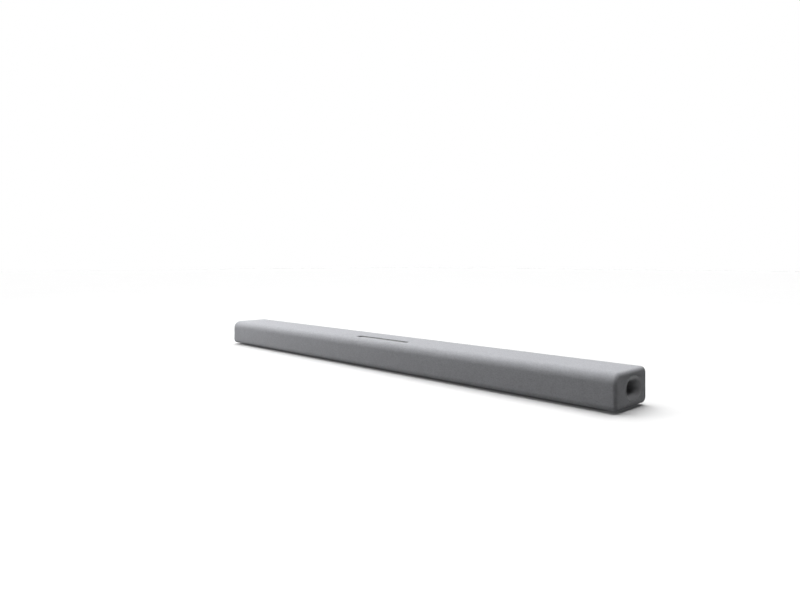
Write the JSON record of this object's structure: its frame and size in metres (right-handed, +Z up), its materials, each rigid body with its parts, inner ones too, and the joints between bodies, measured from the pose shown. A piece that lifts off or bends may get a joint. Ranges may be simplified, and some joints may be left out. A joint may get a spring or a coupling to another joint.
{
  "type": "soundbar",
  "caption": "Long, low soundbar wrapped in grey cloth, with flared end ports, a sunk button strip on top, oval woofers, dome tweeters and a plug recess at the rear.",
  "frame": {"origin": "on the resting surface, under the middle of the bar", "axes": "+X to the right along the bar, -Y out of the front, +Z up"},
  "size_m": [1.08, 0.1, 0.06],
  "materials": {
    "fabric": "woven melange cloth",
    "grille_plastic": "moulded",
    "shell_plastic": "fine texture",
    "port_plastic": "fine texture",
    "cabinet_plastic": "moulded",
    "base_plastic": "fine texture",
    "strip_plastic": "satin",
    "button_rubber": "satin",
    "lens": "smoked",
    "foot_rubber": "matt",
    "foam": "open cell",
    "screw_steel": "blackened",
    "frame_steel": "black powder coat",
    "magnet": "zinc plated",
    "cone": "pressed pulp",
    "roll_rubber": "matt",
    "spider_cloth": "impregnated",
    "dome_silk": "coated silk",
    "faceplate": "moulded",
    "board": "solder mask",
    "aluminium": "extruded",
    "socket_steel": "stamped",
    "inlet_plastic": "moulded",
    "ferrite": "ferrite and tape",
    "capacitor": "sleeve"
  },
  "bodies": {
    "bar": {"ac_inlet": "inlet_plastic", "base_plate": "base_plastic", "cabinet": "cabinet_plastic", "cabinet_gasket": "foam", "control_bezel": "strip_plastic", "control_board": "board", "cover_screws": "screw_steel", "driver_screws": "screw_steel", "fabric_cover": "fabric", "grille_end_left": "grille_plastic", "grille_end_right": "grille_plastic", "grille_shell": "grille_plastic", "heat_sink": "aluminium", "main_board": "board", "port_left": "port_plastic", "port_right": "port_plastic", "power_board": "board", "power_transformer": "ferrite", "rear_cover": "shell_plastic", "rear_sockets": "socket_steel", "reservoir_capacitors": "capacitor", "rubber_feet": "foot_rubber", "status_lens": "lens", "tweeter_left_faceplate": "faceplate", "tweeter_left_motor": "magnet", "tweeter_left_surround": "roll_rubber", "tweeter_right_faceplate": "faceplate", "tweeter_right_motor": "magnet", "tweeter_right_surround": "roll_rubber", "wireless_module": "aluminium", "woofer_left_inner_frame": "frame_steel", "woofer_left_inner_motor": "magnet", "woofer_left_inner_spider": "spider_cloth", "woofer_left_inner_surround": "roll_rubber", "woofer_left_outer_frame": "frame_steel", "woofer_left_outer_motor": "magnet", "woofer_left_outer_spider": "spider_cloth", "woofer_left_outer_surround": "roll_rubber", "woofer_right_inner_frame": "frame_steel", "woofer_right_inner_motor": "magnet", "woofer_right_inner_spider": "spider_cloth", "woofer_right_inner_surround": "roll_rubber", "woofer_right_outer_frame": "frame_steel", "woofer_right_outer_motor": "magnet", "woofer_right_outer_spider": "spider_cloth", "woofer_right_outer_surround": "roll_rubber"},
    "button_pairing": {"button_pairing": "button_rubber"},
    "button_power": {"button_power": "button_rubber"},
    "button_source": {"button_source": "button_rubber"},
    "button_volume_down": {"button_volume_down": "button_rubber"},
    "button_volume_up": {"button_volume_up": "button_rubber"},
    "tweeter_left_dome": {"tweeter_left_dome": "dome_silk"},
    "tweeter_right_dome": {"tweeter_right_dome": "dome_silk"},
    "woofer_left_inner_cone": {"woofer_left_inner_cone": "cone"},
    "woofer_left_outer_cone": {"woofer_left_outer_cone": "cone"},
    "woofer_right_inner_cone": {"woofer_right_inner_cone": "cone"},
    "woofer_right_outer_cone": {"woofer_right_outer_cone": "cone"}
  },
  "joints": [
    {"name": "button_pairing_press", "type": "slide", "parent": "bar", "child": "button_pairing", "axis": [0, 0, -1], "range_m": [0, 0.0006], "stiffness_N_per_m": 400},
    {"name": "button_power_press", "type": "slide", "parent": "bar", "child": "button_power", "axis": [0, 0, -1], "range_m": [0, 0.0006], "stiffness_N_per_m": 400},
    {"name": "button_source_press", "type": "slide", "parent": "bar", "child": "button_source", "axis": [0, 0, -1], "range_m": [0, 0.0006], "stiffness_N_per_m": 400},
    {"name": "button_volume_down_press", "type": "slide", "parent": "bar", "child": "button_volume_down", "axis": [0, 0, -1], "range_m": [0, 0.0006], "stiffness_N_per_m": 400},
    {"name": "button_volume_up_press", "type": "slide", "parent": "bar", "child": "button_volume_up", "axis": [0, 0, -1], "range_m": [0, 0.0006], "stiffness_N_per_m": 400},
    {"name": "tweeter_left_dome_stroke", "type": "slide", "parent": "bar", "child": "tweeter_left_dome", "axis": [0, -1, 0], "range_m": [-0.0003, 0.0003], "stiffness_N_per_m": 400, "deforming": ["tweeter_left_surround"]},
    {"name": "tweeter_right_dome_stroke", "type": "slide", "parent": "bar", "child": "tweeter_right_dome", "axis": [0, -1, 0], "range_m": [-0.0003, 0.0003], "stiffness_N_per_m": 400, "deforming": ["tweeter_right_surround"]},
    {"name": "woofer_left_inner_cone_stroke", "type": "slide", "parent": "bar", "child": "woofer_left_inner_cone", "axis": [0, -1, 0], "range_m": [-0.003, 0.003], "stiffness_N_per_m": 600, "deforming": ["woofer_left_inner_surround", "woofer_left_inner_spider"]},
    {"name": "woofer_left_outer_cone_stroke", "type": "slide", "parent": "bar", "child": "woofer_left_outer_cone", "axis": [0, -1, 0], "range_m": [-0.003, 0.003], "stiffness_N_per_m": 600, "deforming": ["woofer_left_outer_surround", "woofer_left_outer_spider"]},
    {"name": "woofer_right_inner_cone_stroke", "type": "slide", "parent": "bar", "child": "woofer_right_inner_cone", "axis": [0, -1, 0], "range_m": [-0.003, 0.003], "stiffness_N_per_m": 600, "deforming": ["woofer_right_inner_surround", "woofer_right_inner_spider"]},
    {"name": "woofer_right_outer_cone_stroke", "type": "slide", "parent": "bar", "child": "woofer_right_outer_cone", "axis": [0, -1, 0], "range_m": [-0.003, 0.003], "stiffness_N_per_m": 600, "deforming": ["woofer_right_outer_surround", "woofer_right_outer_spider"]}
  ]
}
